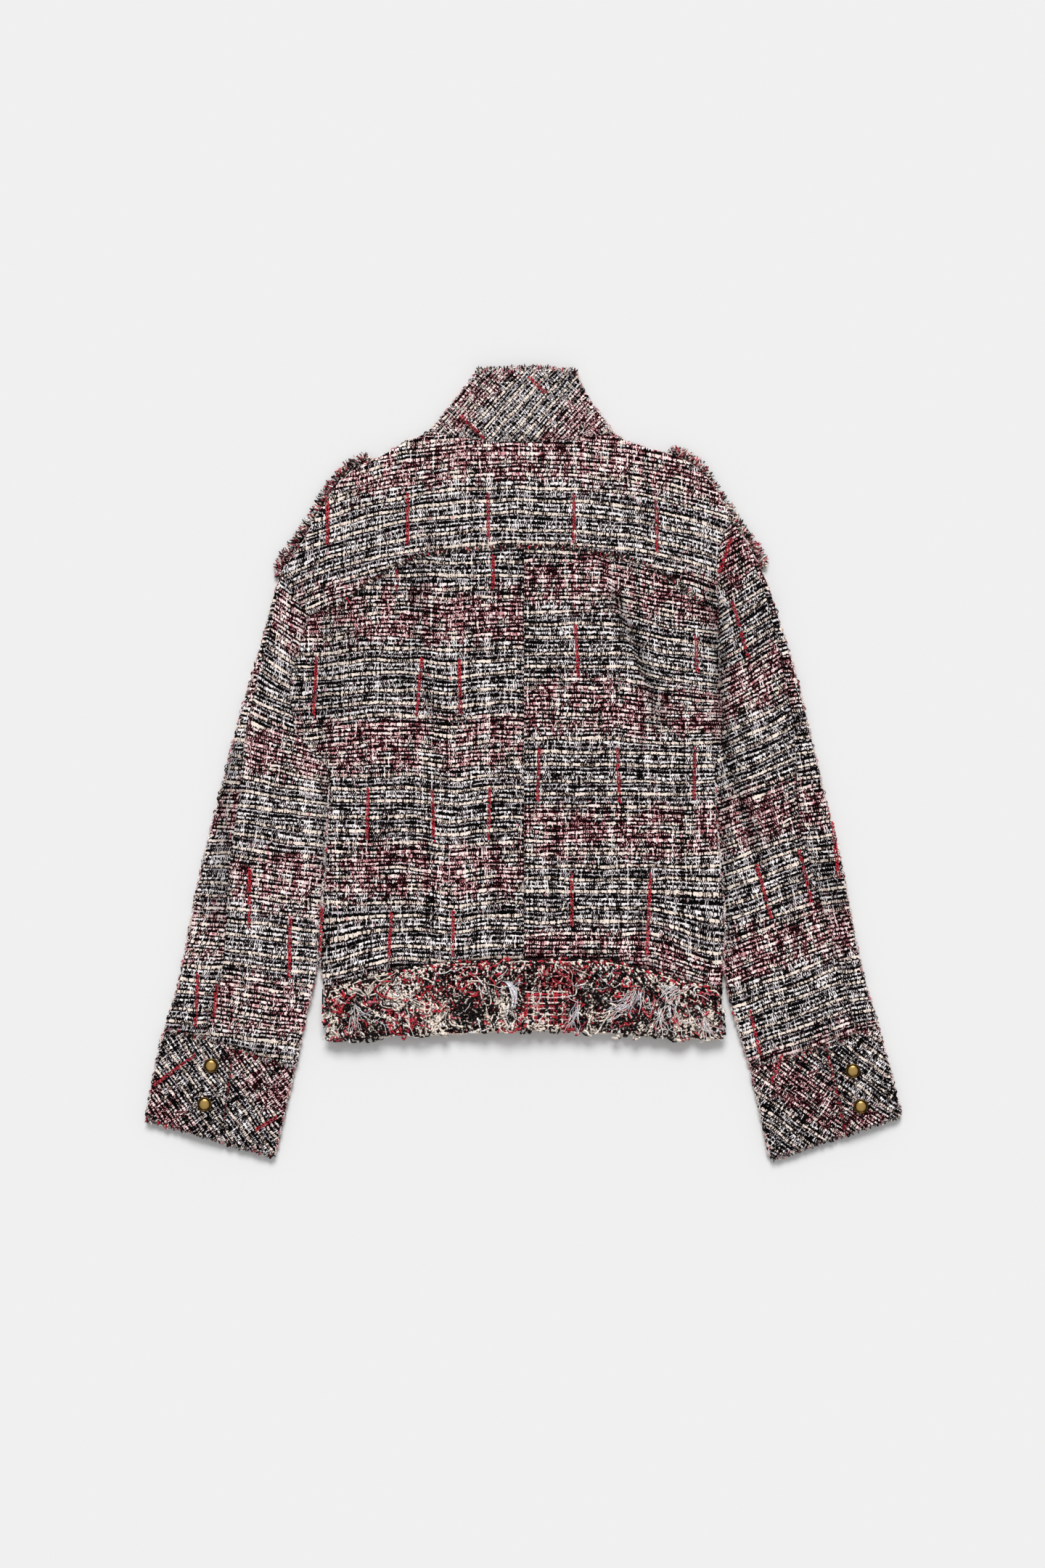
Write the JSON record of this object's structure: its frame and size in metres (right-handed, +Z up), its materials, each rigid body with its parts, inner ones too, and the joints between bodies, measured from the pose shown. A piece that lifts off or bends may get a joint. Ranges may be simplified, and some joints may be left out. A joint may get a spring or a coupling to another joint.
{
  "type": "bomber jacket",
  "caption": "Cropped tweed bomber jacket laid flat, back up: stand collar, yoke, two-piece sleeves, snapped cuffs and a fringed hem band.",
  "frame": {"origin": "centre of the box that holds the jacket, on the surface it lies on", "axes": "+Z up out of the jacket's back, away from the surface it lies on; +Y towards the collar; +X towards the wearer's right sleeve"},
  "size_m": [0.76, 0.7926, 0.0182],
  "materials": {
    "tweed": "matte",
    "fringe_yarn": "matte",
    "black_fray": "matte",
    "snap_metal": "satin"
  },
  "bodies": {
    "root": {"back_panel_left": "tweed", "back_panel_right": "tweed", "back_yoke": "tweed", "collar": "tweed", "cuff_left": "tweed", "cuff_right": "tweed", "epaulette_left": "tweed", "epaulette_right": "tweed", "front_left": "tweed", "front_right": "tweed", "hem_band": "tweed", "hem_fringe_back": "fringe_yarn", "hem_fringe_front": "fringe_yarn", "sleeve_left_back": "tweed", "sleeve_left_front": "tweed", "sleeve_right_back": "tweed", "sleeve_right_front": "tweed", "snap_cuff_left_lower": "snap_metal", "snap_cuff_left_upper": "snap_metal", "snap_cuff_right_lower": "snap_metal", "snap_cuff_right_upper": "snap_metal", "snap_front_1": "snap_metal", "snap_front_2": "snap_metal", "snap_front_3": "snap_metal", "snap_front_4": "snap_metal", "snap_front_5": "snap_metal", "yoke_fringe": "black_fray"}
  },
  "joints": []
}
